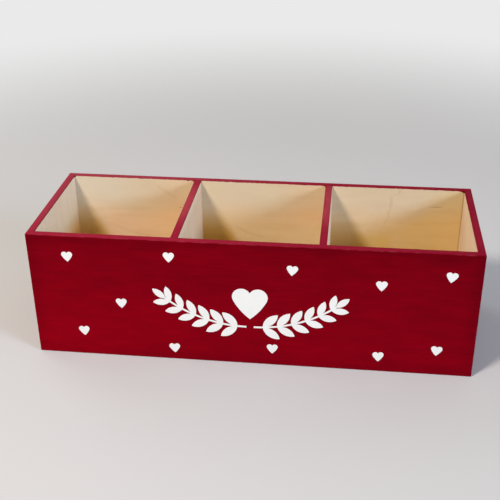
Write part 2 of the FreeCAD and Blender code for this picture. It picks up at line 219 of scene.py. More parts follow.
def clearOf(along, spans):
    # 1 in the middle of the spans, falling smoothly to 0 at their ends and outside
    inside = np.max([np.minimum(along - low, high - along) for low, high in spans], axis=0)
    share = np.clip(inside / sheet["fade"], 0, 1)
    return share * share * (3 - 2 * share)


def wander(along, seed):
    # a factor around 1 that a round grows and shrinks by along its edge
    return 1 + sheet["edgeWander"] * ripple(along, 0 * along, seed, sheet["edgeWanderLength"])


def knocks(along, places):
    # each knock is a place along the edge, its length, and how much it adds to the round
    return sum(deep * np.exp(-(((along - place) / long) ** 2)) for place, long, deep in places)


# Front and back walls: they run the whole length and cover the ends of all the other sheets. The knocks
# are on their outer rim edges, the nicks on the back wall's inner one
longWalls = {
    "frontKnocks": [(-96, 1.4, 0.18), (-31, 0.9, 0.12), (64, 1.6, 0.2), (118, 1.0, 0.15), (-141, 0.8, 0.2)],
    "backKnocks": [(-88, 1.1, 0.15), (20, 1.5, 0.15), (101, 0.9, 0.2)],
    "rimNicks": [(-57.8, 0.7, 0.5), (-144.3, 0.5, 0.35), (97.0, 1.2, 0.15), (-21.0, 0.9, 0.12)],
}


def longWall(name, node, low, high, outer, outerKnocks, innerKnocks, seed):
    # sanded round outside; inside, only along the rim over the bays, clear of the cross walls' ends
    def radiusOf(axis, along, first, second):
        if axis == 0:      # edges along the wall; first is front or back, second is up or down
            outside = sheet["arris"] * wander(along, seed + 1) + knocks(along, outerKnocks) * (second > 0)
            rimRound = (sheet["innerArris"] - sheet["seam"]) * wander(along, seed + 2)
            rimRound = rimRound + knocks(along, innerKnocks)
            inside = sheet["seam"] + rimRound * clearOf(along, bays) * (second > 0)
            return np.where(first == outer, outside, inside)
        if axis == 1:      # the short edges at the ends, which carry on the end walls' rounds
            return np.full(along.shape, sheet["arris"])
        return np.where(second == outer, sheet["arris"] * wander(along, seed + 3), sheet["seam"])
    points, faces = sandedSheet(low, high, 1, radiusOf, seed)
    return makePiece(name, points, faces, node)


# The last number of each sheet seeds its waves
frontWall = longWall(
    "front_wall", "front_panel", frontLow, frontHigh, -1, longWalls["frontKnocks"], [], 11
)
backWall = longWall(
    "back_wall", "back_panel", backLow, backHigh, 1, longWalls["backKnocks"], longWalls["rimNicks"], 21
)
print("long walls made")

# End walls and dividers: they stand between the long walls
crossWalls = {
    "cornerRound": 0.12,     # their upright edges in the bays' corners
    "openCorner": 0.24,      # the right end wall's, at the back, where the joint shows dark
    "stainFills": 4.0,       # length under the rim over which the stain fills that one
    "sideShift": 40,         # along the wander, so that a divider's two rim edges differ
}
inner = [(insideFront, insideBack)]


def endWall(name, node, low, high, outer, backCorner, seed):
    # sanded round outside, lightly along the rim inside, crisp where it meets the long walls
    def radiusOf(axis, along, first, second):
        if axis == 1:      # edges from front to back; first is left or right, second is up or down
            outside = sheet["arris"] * wander(along, seed + 1)
            rimRound = (sheet["innerArris"] - sheet["seam"]) * wander(along, seed + 2)
            inside = sheet["seam"] + rimRound * clearOf(along, inner) * (second > 0)
            return np.where(first == outer, outside, inside)
        if axis == 2:      # upright edges
            opened = np.where(along < rim - crossWalls["stainFills"], backCorner, crossWalls["cornerRound"])
            corner = np.where(second > 0, opened, crossWalls["cornerRound"])
            return np.where(first == outer, sheet["seam"], corner)
        return np.full(along.shape, sheet["seam"])
    points, faces = sandedSheet(low, high, 0, radiusOf, seed)
    return makePiece(name, points, faces, node)


def partition(name, node, low, high, seed):
    # lightly rounded along both sides of the rim
    def radiusOf(axis, along, first, second):
        if axis == 1:
            uneven = wander(along + crossWalls["sideShift"] * first, seed + 1)
            rimRound = (sheet["innerArris"] - sheet["seam"]) * uneven
            return sheet["seam"] + rimRound * clearOf(along, inner) * (second > 0)
        if axis == 2:
            return np.full(along.shape, crossWalls["cornerRound"])
        return np.full(along.shape, sheet["seam"])
    points, faces = sandedSheet(low, high, 0, radiusOf, seed)
    return makePiece(name, points, faces, node)


leftEnd = endWall(
    "left_end_wall", "left_end_panel", leftLow, leftHigh, -1, crossWalls["cornerRound"], 31
)
rightEnd = endWall(
    "right_end_wall", "right_end_panel", rightLow, rightHigh, 1, crossWalls["openCorner"], 41
)
leftPartition = partition("left_partition", "left_divider", leftDividerLow, leftDividerHigh, 51)
rightPartition = partition("right_partition", "right_divider", rightDividerLow, rightDividerHigh, 61)
print("end walls and partitions made")


# The bottom board lies between the walls, with crisp edges
def bottomBoard():
    def radiusOf(axis, along, first, second):
        return np.full(along.shape, sheet["seam"])
    points, faces = sandedSheet(bottomLow, bottomHigh, 2, radiusOf, 71)
    return makePiece("bottom_board", points, faces, "bottom_panel")


board = bottomBoard()
print("bottom board made")


class Wire:
    # one socket of a node tree; arithmetic with it adds Math nodes
    def __init__(self, tree, socket):
        self.tree = tree
        self.socket = socket

    def math(self, operation, *values):
        return self.tree.node("ShaderNodeMath", {"operation": operation}, dict(enumerate(values)))

    def __add__(self, other):
        return self.math("ADD", self, other)

    def __radd__(self, other):
        return self.math("ADD", other, self)

    def __sub__(self, other):
        return self.math("SUBTRACT", self, other)

    def __rsub__(self, other):
        return self.math("SUBTRACT", other, self)

    def __mul__(self, other):
        return self.math("MULTIPLY", self, other)

    def __rmul__(self, other):
        return self.math("MULTIPLY", other, self)

    def __truediv__(self, other):
        return self.math("DIVIDE", self, other)

    def __pow__(self, other):
        return self.math("POWER", self, other)

    def __abs__(self):
        return self.math("ABSOLUTE", self)

    def least(self, other):
        return self.math("MINIMUM", self, other)

    def most(self, other):
        return self.math("MAXIMUM", self, other)

    def sine(self):
        return self.math("SINE", self)

    def rise(self, start, end):
        # 0 below start, 1 above end, smooth between
        ends = {"Value": self, "From Min": start, "From Max": end}
        return self.tree.node("ShaderNodeMapRange", {"interpolation_type": "SMOOTHSTEP"}, ends)


class NodeTree:
    def __init__(self, owner):
        owner.use_nodes = True
        self.tree = owner.node_tree
        self.tree.nodes.clear()

    def node(self, kind, settings=None, inputs=None, output=0):
        made = self.tree.nodes.new(kind)
        for name, value in (settings or {}).items():
            setattr(made, name, value)
        for name, value in (inputs or {}).items():
            if isinstance(value, Wire):
                self.tree.links.new(value.socket, made.inputs[name])
            else:
                made.inputs[name].default_value = value
        if output is None:
            return None
        if isinstance(output, tuple):
            return [Wire(self, made.outputs[name]) for name in output]
        return Wire(self, made.outputs[output])

    def millimetres(self):
        place = self.node("ShaderNodeTexCoord", output="Object")
        return self.node("ShaderNodeVectorMath", {"operation": "SCALE"}, {0: place, "Scale": 1 / mm})

    def split(self, vector):
        return self.node("ShaderNodeSeparateXYZ", inputs={0: vector}, output=("X", "Y", "Z"))

    def vector(self, x, y, z):
        return self.node("ShaderNodeCombineXYZ", inputs={0: x, 1: y, 2: z})

    def noise(self, vector, detail=2, roughness=0.5):
        values = {"Vector": vector, "Scale": 1, "Detail": detail, "Roughness": roughness}
        return self.node("ShaderNodeTexNoise", inputs=values)

    def blend(self, factor, first, second, kind="MIX"):
        # colours: first where the factor is 0, second (or, for MULTIPLY, their product) where it is 1
        inputs = {0: factor, 6: first, 7: second}
        return self.node("ShaderNodeMix", {"data_type": "RGBA", "blend_type": kind}, inputs, 2)

    def between(self, factor, first, second):
        # the same for vectors
        inputs = {0: factor, 4: first, 5: second}
        return self.node("ShaderNodeMix", {"data_type": "VECTOR"}, inputs, 1)

    def finish(self, kind, surface):
        self.node(kind, inputs={"Surface": surface}, output=None)


def newMaterial(name):
    material = bpy.data.materials.new(name)
    return material, NodeTree(material)


def colour(red, green, blue):
    # from the 0 to 255 values of a colour picker
    steps = [value / 255 for value in (red, green, blue)]
    return [v / 12.92 if v <= 0.04045 else ((v + 0.055) / 1.055) ** 2.4 for v in steps] + [1]


stain = {
    "deep": colour(96, 0, 15),
    "bright": colour(148, 0, 22),
    "rimDeep": colour(109, 0, 28),
    "rimBright": colour(139, 24, 50),
    "rubbed": colour(182, 90, 98),
    # painted sheen for the rims towards the left, a greyer pink
    "paintedSheen": colour(146, 74, 86),
    "chipped": colour(58, 12, 14),
    "coatLevelWithFalloff": 0.75,            # the stain's level at the lower left, from 0, deep, to 1, bright, and how much lower it is at the right end, partly painted falloff of the light, at the rim and near the edges, over this reach, with painted contact shade at the foot
    "coatAndPaintedFalloffRight": 0.2,        # and how much less thin at the right end,
    "lessHigh": 0.33,        # at the rim
    "deeperEdgesAndFootShade": 0.18,      # and near the edges, over this reach
    "edgeReach": 12.0,
    "drinks": {"fibre": 0.6, "blotch": 0.5, "broad": 0.5},      # how much each pattern changes it
    "inPores": 0.2,
    # on the cut faces the drop towards the right end, below, is painted falloff of the light
    "rimThin": 0.95,         # the same for the sheets' sanded cut faces, whose coat is
    "rimPaintedFalloffRight": 0.8,
    "rimCore": 0.2,          # thinner on the core and thicker on the glue lines
    "rimGlue": 0.15,
    "rimReach": (0.1, 0.5),  # distances from a cut face between which its coat passes into the other
    "rimMarks": (0.5, 0.2),  # depths under the rim between which its marks fade in
    "rub": 0.16,             # how pale the worn arrises are, how far they reach, and in which spots
    "rubReach": (0.3, 0.95),
    "rubSpots": (0.42, 0.7),
    "roughness": 0.5,
    "roughFibres": 0.16,
    "specular": 0.02,
    "line": 0.36,            # how far the stain runs down inside the bays, on the long walls
    "crossLine": 0.9,        # and on the end walls and dividers
}
stainLimit = {
    "wander": 0.7,           # how far the stain's limit wanders up and down, and over which length
    "wanderLength": 3.2,
    "softness": 0.06,
    "bleed": 0.45,           # how far past it the wood is tinted, in streaks of this width and height
    "streaks": (1.1, 6.0),
    "streakLimits": (0.35, 0.8),
    "tint": 0.16,
    "inner": (0.5, 0.3),     # distances from a wall's inner face between which the outside's stain ends,
    "ends": (1, 2),          # and from the walls' feet and the long walls' ends
}
birch = {
    "pale": colour(228, 212, 190),
    "even": colour(216, 196, 169),
    "figure": colour(202, 173, 136),
    "fleck": colour(128, 88, 52),
    "glue": colour(150, 104, 60),
    "rings": 0.22,           # how much of the figure's tone comes from each of these patterns
    "blotch": 0.3,
    "blotchFrom": 0.4,       # the blotches' level at which they add nothing
    "rub": 0.35,
    "fibre": 0.22,           # and how strongly these show over it
    "fibreLimits": (0.4, 0.8),
    "pores": 0.08,
    "flecks": 0.1,
    "glueLine": 0.5,
    "roughness": 0.62,
}
paleBirch = dict(
    birch,
    pale=colour(234, 222, 206),
    even=colour(226, 211, 191),
    figure=colour(214, 190, 158),
)
warmBirch = dict(
    birch,
    pale=colour(231, 212, 189),
    even=colour(223, 199, 174),
    figure=colour(211, 178, 141),
)
# The sheet's layers, and each pattern's size along the grain, across it and into the sheet
veneer = {
    "skins": 1.45,           # thickness of each face veneer; the core's grain runs across theirs
    "skinBlend": 0.04,
    "glueLine": 0.07,
    "fibre": (30.0, 0.5, 0.5),
    "pores": (4.0, 0.16, 0.16),
    "poreLimits": (0.6, 0.72),
    "blotch": (24.0, 7.0, 40.0),
    "figure": (95.0, 24.0, 60.0),
    "figureRings": 6.0,
    "flecks": (6.0, 0.7, 3.0),
    "fleckLimits": (0.78, 0.86),
    "broad": (110.0, 50.0),  # this one lies along the box, and the next is alike in all directions
    "rub": 5.0,
    "relief": {"fibre": 0.8, "pores": -0.7, "glueLine": -0.4, "rub": 0.5},
    "bump": 0.018,           # the relief's height
}


def nearest(distances):
    found = distances[0]
    for distance in distances[1:]:
        found = found.least(distance)
    return found


def edgeDistance(first, second):
    return (first ** 2 + second ** 2) ** 0.5


def veneerPattern(tree, axes, depth, through, grain, shift):
    # what stained and bare wood share: fibres and pores along the grain, softer blotches, and the
    # sheet's layers, whose core runs across
    x, y, z = axes
    across = 3 - through - grain
    blend = veneer["skinBlend"]
    farSkin = thickness - veneer["skins"]
    core = depth.rise(veneer["skins"] - blend, veneer["skins"] + blend)
    core = core - depth.rise(farSkin - blend, farSkin + blend)
    toGlue = abs(abs(depth - thickness / 2) - (thickness / 2 - veneer["skins"]))

    def alongGrain(name, start):
        long, wide, deep = veneer[name]
        skin = tree.vector(axes[grain] / long + start, axes[across] / wide, depth / deep)
        middle = tree.vector(axes[grain] / wide + start, axes[across] / long, depth / deep)
        return tree.between(core, skin, middle)

    def stretched(name):
        long, wide, deep = veneer[name]
        return axes[grain] / long + shift, axes[across] / wide, depth / deep

    lengthwise, sideways, inwards = stretched("figure")
    levels = tree.noise(tree.vector(lengthwise, sideways, inwards + shift), 2, 0.45)
    long, wide = veneer["broad"]
    small = veneer["rub"]
    return {
        "core": core,
        "glueLine": 1 - toGlue.rise(0, veneer["glueLine"]),
        "fibre": tree.noise(alongGrain("fibre", shift), 3, 0.6),
        "pores": tree.noise(alongGrain("pores", shift + 7), 1).rise(*veneer["poreLimits"]),
        "blotch": tree.noise(tree.vector(*stretched("blotch")), 2),
        "broad": tree.noise(tree.vector(x / long + shift, y / wide, z / wide), 1),
        "rings": (levels * (veneer["figureRings"] * 2 * math.pi)).sine() * 0.5 + 0.5,
        "flecks": tree.noise(tree.vector(*stretched("flecks")), 0).rise(*veneer["fleckLimits"]),
        "rub": tree.noise(tree.vector(x / small + shift, y / small, z / small), 3, 0.7),
    }


def stainWithPaintedFalloff(tree, axes, wood, toArris, toCut):
    # deeper where the wood drinks more, towards the rim, near the edges, and towards the right end, partly
    # as painted falloff of the light; at the foot the deeper edge is painted contact shade; the cut faces
    # come out pinker, and the arrises are rubbed
    toRight = axes[0] / (2 * endFace) + 0.5
    uneven = sum((wood[pattern] - 0.5) * share for pattern, share in stain["drinks"].items())
    # darker towards the right end, partly painted falloff of the light, and towards the rim
    coatLevelWithFalloff = stain["coatLevelWithFalloff"] - toRight * stain["coatAndPaintedFalloffRight"] - axes[2] * (stain["lessHigh"] / rim) + uneven
    # deeper near the cut faces; at the foot this is painted contact shade
    coatLevelWithFalloff = coatLevelWithFalloff - (1 - toCut.rise(0, stain["edgeReach"])) * stain["deeperEdgesAndFootShade"]
    coat = tree.blend(coatLevelWithFalloff.most(0).least(1), stain["deep"], stain["bright"])
    coat = tree.blend(wood["pores"] * stain["inPores"], coat, stain["deep"])
    # the cut faces also darken towards the right end, which is painted falloff of the light
    coatLevelWithFalloff = stain["rimThin"] - toRight * stain["rimPaintedFalloffRight"] + uneven
    coatLevelWithFalloff = coatLevelWithFalloff + wood["core"] * stain["rimCore"] - wood["glueLine"] * stain["rimGlue"]
    onCut = tree.blend(coatLevelWithFalloff.most(0).least(1), stain["rimDeep"], stain["rimBright"])
    coat = tree.blend(1 - toCut.rise(*stain["rimReach"]), coat, onCut)
    rubbed = (1 - toArris.rise(*stain["rubReach"])) * wood["rub"].rise(*stain["rubSpots"])
    return tree.blend(rubbed * stain["rub"], coat, stain["rubbed"])


def bareWood(tree, wood, tones):
    # wavy figure from the level lines of a stretched noise, fine fibres, a few flecks
    figure = wood["rings"] ** 2 * tones["rings"]
    figure = figure + (wood["blotch"] - tones["blotchFrom"]) * tones["blotch"]
    figure = figure + (wood["rub"] - 0.5) * tones["rub"]
    bare = tree.blend(figure, tones["even"], tones["figure"])
    bare = tree.blend(wood["fibre"].rise(*tones["fibreLimits"]) * tones["fibre"], bare, tones["pale"])
    bare = tree.blend(wood["pores"] * tones["pores"], bare, tones["glue"])
    bare = tree.blend(wood["flecks"] * tones["flecks"], bare, tones["fleck"])
    return tree.blend(wood["glueLine"] * tones["glueLine"], bare, tones["glue"])


def plyMaterial(name, face, through, grain, edges, paintEdge, tones, marks, shift):
    # "face" is the place of the outer face and the way into the sheet; "grain" is the axis that the
    # face veneers run along; "edges" gives the distances from the stained arrises and cut faces, and
    # "paintEdge" and "marks" add this sheet's own limit of the stain and its marks
    material, tree = newMaterial(name)
    axes = tree.split(tree.millimetres())
    depth = (axes[through] - face[0]) * face[1]
    wood = veneerPattern(tree, axes, depth, through, grain, shift)
    arrises, cuts = edges(axes, depth)
    stained = stainWithPaintedFalloff(tree, axes, wood, nearest(arrises), nearest(cuts))
    bare = bareWood(tree, wood, tones)
    if marks:
        bare, stained = marks(tree, axes, bare, stained)

    length = stainLimit["wanderLength"]
    wandering = tree.noise(tree.vector(axes[0] / length + shift, axes[1] / length, 0), 2) - 0.5
    line = stain["line"] + wandering * stainLimit["wander"]
    uncovered = paintEdge(tree, axes, depth, line)
    wide, tall = stainLimit["streaks"]
    streaks = tree.noise(tree.vector(axes[0] / wide + shift, axes[1] / wide, axes[2] / tall), 1)
    bled = uncovered * (1 - paintEdge(tree, axes, depth, line + stainLimit["bleed"]))
    bled = bled * streaks.rise(*stainLimit["streakLimits"])
    bare = tree.blend(bled, bare, tree.blend(stainLimit["tint"], bare, stain["bright"]))

    roughness = stain["roughness"] + (wood["fibre"] - 0.5) * stain["roughFibres"]
    roughness = roughness + uncovered * (birch["roughness"] - stain["roughness"])
    height = sum(wood[pattern] * share for pattern, share in veneer["relief"].items())
    surface = {
        "Base Color": tree.blend(uncovered, stained, bare),
        "Roughness": roughness,
        "Normal": tree.node("ShaderNodeBump", inputs={"Distance": veneer["bump"] * mm, "Height": height}),
        "Specular IOR Level": stain["specular"],
    }
    tree.finish("ShaderNodeOutputMaterial", tree.node("ShaderNodeBsdfPrincipled", inputs=surface))
    return material


# The stain pools in the bays' corners, where its limit dips: a place, its reach and its depth
backDips = [
    (bays[0][0], 1.6, 1.1),
    (bays[0][1], 2.4, 1.9),
    (bays[1][0], 0.8, 0.4),
    (bays[1][1], 1.6, 1.0),
    (bays[2][0], 0.7, 0.3),
    (bays[2][1], 5.0, 1.6),
]
frontDips = [(side, 1.5, 0.9) for bay in bays for side in bay]
crossDips = [(insideBack, 1.8, 1.1), (insideFront, 1.5, 0.8)]


def cornerDips(along, dips):
    total = 0
    for place, reach, deep in dips:
        total = total + (1 - abs(along - place) / reach).most(0) ** 2 * deep
    return total


def innerFace(axes, depth):
    # 1 on a wall's inner face, but not on its foot, which is stained like the outside
    start, full = stainLimit["inner"]
    return depth.rise(thickness - start, thickness - full) * axes[2].rise(*stainLimit["ends"])


def bareBelow(below):
    # 0 over the stain's limit, 1 under it
    return below.rise(-stainLimit["softness"], stainLimit["softness"])


def longWallMaterial(name, outerFace, way, dips, marks, shift):
    def edges(axes, depth):
        toTop = rim - axes[2]
        toEnd = endFace - abs(axes[0])
        arrises = [
            edgeDistance(depth, toTop),
            edgeDistance(depth, axes[2]),
            edgeDistance(depth, toEnd),
            edgeDistance(toTop, toEnd),
        ]
        return arrises, [toTop, toEnd, axes[2]]

    def paintEdge(tree, axes, depth, line):
        below = rim - axes[2] - line - cornerDips(axes[0], dips)
        toEnd = endFace - abs(axes[0])
        return innerFace(axes, depth) * toEnd.rise(*stainLimit["ends"]) * bareBelow(below)

    return plyMaterial(name, (outerFace, way), 1, 0, edges, paintEdge, birch, marks, shift)


def belowCrossLine(axes, line):
    return rim - axes[2] - line - (stain["crossLine"] - stain["line"]) - cornerDips(axes[1], crossDips)


def endWallMaterial(name, outerFace, way, tones, marks, shift):
    def edges(axes, depth):
        toTop = rim - axes[2]
        return [edgeDistance(depth, toTop), edgeDistance(depth, axes[2])], [toTop, axes[2]]

    def paintEdge(tree, axes, depth, line):
        return innerFace(axes, depth) * bareBelow(belowCrossLine(axes, line))

    return plyMaterial(name, (outerFace, way), 0, 2, edges, paintEdge, tones, marks, shift)


def partitionMaterial(name, low, marks, shift):
    def edges(axes, depth):
        toTop = rim - axes[2]
        return [edgeDistance(depth, toTop), edgeDistance(thickness - depth, toTop)], [toTop]

    def paintEdge(tree, axes, depth, line):
        return bareBelow(belowCrossLine(axes, line))

    return plyMaterial(name, (low, 1), 0, 2, edges, paintEdge, paleBirch, marks, shift)


# Underneath, the brush laps onto the board from its edges
lap = {
    "reach": 13.0,           # how far in: a noise times this,
    "less": 3.0,             # less this
    "length": 17.0,          # of the noise's clouds
    "softness": 0.5,
    "depths": (0.2, 0.4),    # into the board, where it ends
    "clear": 5.0,            # the board has no stained arris or cut face nearer than this
}


def boardMaterial(name, shift):
    def edges(axes, depth):
        return [depth + lap["clear"]], [depth + lap["clear"]]

    def paintEdge(tree, axes, depth, line):
        inFrom = (bottomHigh[0] - abs(axes[0])).least(bottomHigh[1] - abs(axes[1]))
        length = lap["length"]
        clouds = tree.noise(tree.vector(axes[0] / length + shift, axes[1] / length, 0), 2, 0.45)
        reach = clouds * lap["reach"] - lap["less"]
        underneath = 1 - depth.rise(*lap["depths"])
        return 1 - underneath * (1 - (inFrom - reach).rise(-lap["softness"], lap["softness"]))

    return plyMaterial(name, (bottomLow[2], 1), 2, 0, edges, paintEdge, birch, None, shift)


# Painted light and shade on the back wall's bare wood, over the bays. A pair of places, heights or
# distances is where a tone starts and where it is full. The last two tones are mixed into the wood's, the
# others multiply it
backPaintedLight = {
    "yellow": (1.0, 0.87, 0.5, 1),         # painted warm shade low down
    "yellowShares": (0.05, 0.42, 0.9),     # in the left, middle and right bay
    "yellowBetween": ((-112, -68), (70, 112)),       # where one share passes into the next
    "yellowDepths": (12, 38),              # below the rim
    "climbs": (100, 145),                  # towards the right end it starts higher, by this much
    "climb": 26,
    "foot": (18, 44),                      # towards the floor it is weaker again, down to this share
    "footShare": 0.5,
    # painted shadow cast by each bay's left side:
    "dim": (0.93, 0.76, 0.34, 1),          # browner at the foot of each bay's left corner,
    "dimSlopes": (0.46, 0.53, 0.56),       # which widens downwards
    "dimShares": (0.9, 1.0, 0.7),
    "dimSoftness": (5, -5),                # across the slope
    "dimHeights": (75, 46),
    "dimFoot": (22, 45),
    "dimFootShare": 0.4,
    "warm": (1.06, 0.95, 0.87, 1),         # painted warm bounce light, redder towards the right of the first two bays
    "warmReach": (45, 8),
    "warmHeights": (54, 70),
    "patches": [                           # painted light and shade in patches: left end, right end, heights, tone
        ((-128, -118), (-52, -54), (70, 56), (1.11, 1.025, 1.02, 1)),
        ((64, 73), (99, 88), (59, 50), (1.0, 0.96, 0.68, 1)),
    ],
    # painted cool light near the rim, and painted light at the upper left of the left bay:
    "paintedCoolLight": colour(192, 188, 167),     # greyer towards the rim,
    "paintedCoolLightShare": 0.35,
    "paintedCoolLightHeights": (62, 84),
    "palest": colour(208, 203, 190),       # and paler at the upper left of the left bay
    "palestShare": 0.5,
    "palestReach": (-80, -125),
}
backFigure = {
    "flecks": [(-64.0, 70.0, 2.6, 0.35), (125.5, 79.2, 6.5, 0.34)],      # x, z, half length, half width
    "fleckLean": 0.03,
    "fleckShare": 0.55,
    "fleckEdge": (0.2, 1),                 # squared distances from its middle between which it fades
    "arcs": [                              # x, z, half length, rise over it, bow, width, strength
        (-74.5, 82.2, 10.0, -6.6, 0.0, 2.2, 0.11),
        (-102.0, 47.1, 20.0, -5.6, 2.6, 2.2, 0.1),
        (-12.0, 50.8, 14.0, -5.2, 3.2, 2.4, 0.13),
        (119.0, 78.0, 17.0, 8.0, -3.4, 3.0, 0.07),
        (80.5, 57.4, 6.0, -0.6, 0.0, 1.4, 0.08),
    ],
    "arcEdge": (0.1, 1),                   # shares of its width between which an arc or the seam fades,
    "arcEnds": (0.5, 1),                   # and of an arc's half length
    "streak": colour(168, 112, 48),        # the arcs' and the seam's colour
    "seam": [(87.0, 57.0), (91.6, 71.0), (93.4, 80.8), (92.7, 85.3), (99.0, 89.8)],     # x, z of its bends
    "seamWidth": 1.7,
    "seamWander": 2,                       # width of its wander about that line, and height of a wave
    "seamWaves": 6,
    "seamBreaks": 5,                       # height of the stretches between its breaks
    "breakLimits": (0.1, 0.6),
    "seamShare": 0.17,
    "seamHeights": (54, 78),
    "glueLine": (1.2, 0),                  # the dark line in the corner with the right end wall
    "glueShare": 0.6,
    "paintedSheenShare": 0.3,                           # painted sheen on the rim, towards the left
    "paintedSheenReach": (60, -100),
    "chips": [(-57.8, 92.35, 0.9, 0.42), (-144.4, 92.2, 0.55, 0.7)],     # as the flecks, through the stain
    "chipEdge": (0.3, 1),
}


def fadeIn(value, ends, least=0):
    # the least share at the first end and 1 at the second, whichever of the two ends is the larger
    start, full = ends
    share = value.rise(start, full) if start < full else 1 - value.rise(full, start)
    if least:
        share = share * (1 - least) + least
    return share


def inBay(fromSide):
    # 1 in a bay, 0 past the side that the distance is measured from
    return fromSide.rise(-1, 0)


def paintLightOnBackWall(tree, axes, bare):
    # painted shade and light on the bare wood: warm shade low down, a shadow in each bay's left corner,
    # warm bounce light, patches, cool light towards the rim and light at the upper left
    x, z = axes[0], axes[2]
    tones = backPaintedLight
    low = fadeIn(rim - z + fadeIn(x, tones["climbs"]) * tones["climb"], tones["yellowDepths"])
    low = low * fadeIn(z, tones["foot"], tones["footShare"])
    left, middle, right = tones["yellowShares"]
    first, second = tones["yellowBetween"]
    share = left + fadeIn(x, first) * (middle - left) + fadeIn(x, second) * (right - middle)
    bare = tree.blend(low * share, bare, tones["yellow"], "MULTIPLY")

    dimmed = fadeIn(z, tones["dimHeights"]) * fadeIn(z, tones["dimFoot"], tones["dimFootShare"])
    for bay, slope, strength in zip(bays, tones["dimSlopes"], tones["dimShares"]):
        fromLeft = x - bay[0]
        corner = fadeIn(fromLeft - (rim - z) * slope, tones["dimSoftness"]) * inBay(fromLeft)
        bare = tree.blend(corner * dimmed * strength, bare, tones["dim"], "MULTIPLY")
    for bay in bays[:2]:
        fromRight = bay[1] - x
        warm = fadeIn(fromRight, tones["warmReach"]) * inBay(fromRight)
        bare = tree.blend(warm * fadeIn(z, tones["warmHeights"]), bare, tones["warm"], "MULTIPLY")
    for leftSide, rightSide, heights, tone in tones["patches"]:
        patch = fadeIn(x, leftSide) * fadeIn(x, rightSide) * fadeIn(z, heights)
        bare = tree.blend(patch * fadeIn(z, tones["foot"]), bare, tone, "MULTIPLY")

    upper = fadeIn(z, tones["paintedCoolLightHeights"])
    bare = tree.blend(upper * tones["paintedCoolLightShare"], bare, tones["paintedCoolLight"])
    return tree.blend(upper * fadeIn(x, tones["palestReach"]) * tones["palestShare"], bare, tones["palest"])


def spot(x, z, place, edge):
    # an oval, whose squared distance is 0 in the middle and 1 on its outline
    across, height, long, wide = place
    off = ((x - across) / long) ** 2 + ((z - height) / wide) ** 2
    return 1 - off.rise(*edge)


def figureBackWall(tree, axes, bare):
    # the dark flecks, the pale brown arcs, the seam that wanders up the right bay, the glue line
    x, z = axes[0], axes[2]
    values = backFigure
    for place in values["flecks"]:
        fleck = spot(x, z + (x - place[0]) * values["fleckLean"], place, values["fleckEdge"])
        bare = tree.blend(fleck * values["fleckShare"], bare, birch["fleck"])
    for across, height, half, slope, bow, wide, strength in values["arcs"]:
        along = (x - across) / half
        off = abs(z - height - along * slope - along ** 2 * bow) / wide
        arc = (1 - off.rise(*values["arcEdge"])) * (1 - abs(along).rise(*values["arcEnds"]))
        bare = tree.blend(arc * strength, bare, values["streak"])

    bends = values["seam"]
    line = bends[0][0]
    for (fromX, fromZ), (toX, toZ) in zip(bends, bends[1:]):
        line = line + z.rise(fromZ, toZ) * (toX - fromX)
    waves = tree.noise(tree.vector(z / values["seamWaves"], 3.1, 0.4), 1) - 0.5
    off = abs(x - line + waves * values["seamWander"]) / values["seamWidth"]
    breaks = tree.noise(tree.vector(1.7, 0, z / values["seamBreaks"]), 1).rise(*values["breakLimits"])
    seam = (1 - off.rise(*values["arcEdge"])) * (breaks * fadeIn(z, values["seamHeights"]))
    bare = tree.blend(seam * values["seamShare"], bare, values["streak"])
    inCorner = fadeIn(bays[2][1] - x, values["glueLine"])
    return tree.blend(inCorner * values["glueShare"], bare, birch["glue"])


def onRim(axes):
    start, full = stain["rimMarks"]
    return axes[2].rise(rim - start, rim - full)


def markBackWall(tree, axes, bare, stained):
    bare = figureBackWall(tree, axes, paintLightOnBackWall(tree, axes, bare))
    # painted sheen on the back rim, towards the left
    paintedSheen = onRim(axes) * fadeIn(axes[0], backFigure["paintedSheenReach"])
    stained = tree.blend(paintedSheen * backFigure["paintedSheenShare"], stained, stain["paintedSheen"])
    for place in backFigure["chips"]:
        dark = spot(axes[0], axes[2], place, backFigure["chipEdge"])
        bare = tree.blend(dark, bare, stain["chipped"])
        stained = tree.blend(dark, stained, stain["chipped"])
    return bare, stained


# The cross walls' rims are paler around a place between front and back, a painted sheen on the left end
# wall, and two of their faces carry painted shade; those tones multiply the wood's colour too
crossMarks = {
    "leftEndRim": (20, 90, 0.24, "paintedSheen"),           # place, reach, strength and tone
    "leftPartitionRim": (6, 42, 0.27, "rubbed"),
    "rightPartitionRim": (14, 48, 0.25, "rubbed"),
    "rimReach": (0, 0.8),                            # shares of the reach over which it fades in
    "rimSpots": (2.5, 9),                            # size of the spots in it, across and along the rim
    # painted shade on the left end wall's inner face:
    "leftEndPaintedShade": (0.88, 0.65, 0.27, 1),             # browner half way down, near the back wall,
    "leftEndReach": (-8, 24),
    "leftEndHeights": (70, 47),
    "leftEndFoot": (22, 45),
    "leftEndFootShare": 0.3,
    "band": (0.92, 0.925, 0.84, 1),                  # with a duller band above that
    "bandStarts": (50, 64),
    "bandEnds": (86, 66),
    "partitionPaintedShade": (0.93, 0.88, 0.84, 1),           # painted shade on the left partition's right face
    "partitionDepths": (1, 0.6),
    "partitionHeights": (91, 84),
}


def paleRimPatch(tree, axes, stained, values):
    # a paler patch in spots along a cross wall's rim; on the left end wall it is a painted sheen
    place, reach, strength, tone = values
    wide, long = crossMarks["rimSpots"]
    patch = (1 - abs(axes[1] - place) / reach).rise(*crossMarks["rimReach"]) * onRim(axes)
    patch = patch * (tree.noise(tree.vector(axes[0] / wide, axes[1] / long, 0), 2) + 0.5)
    return tree.blend(patch * strength, stained, stain[tone])


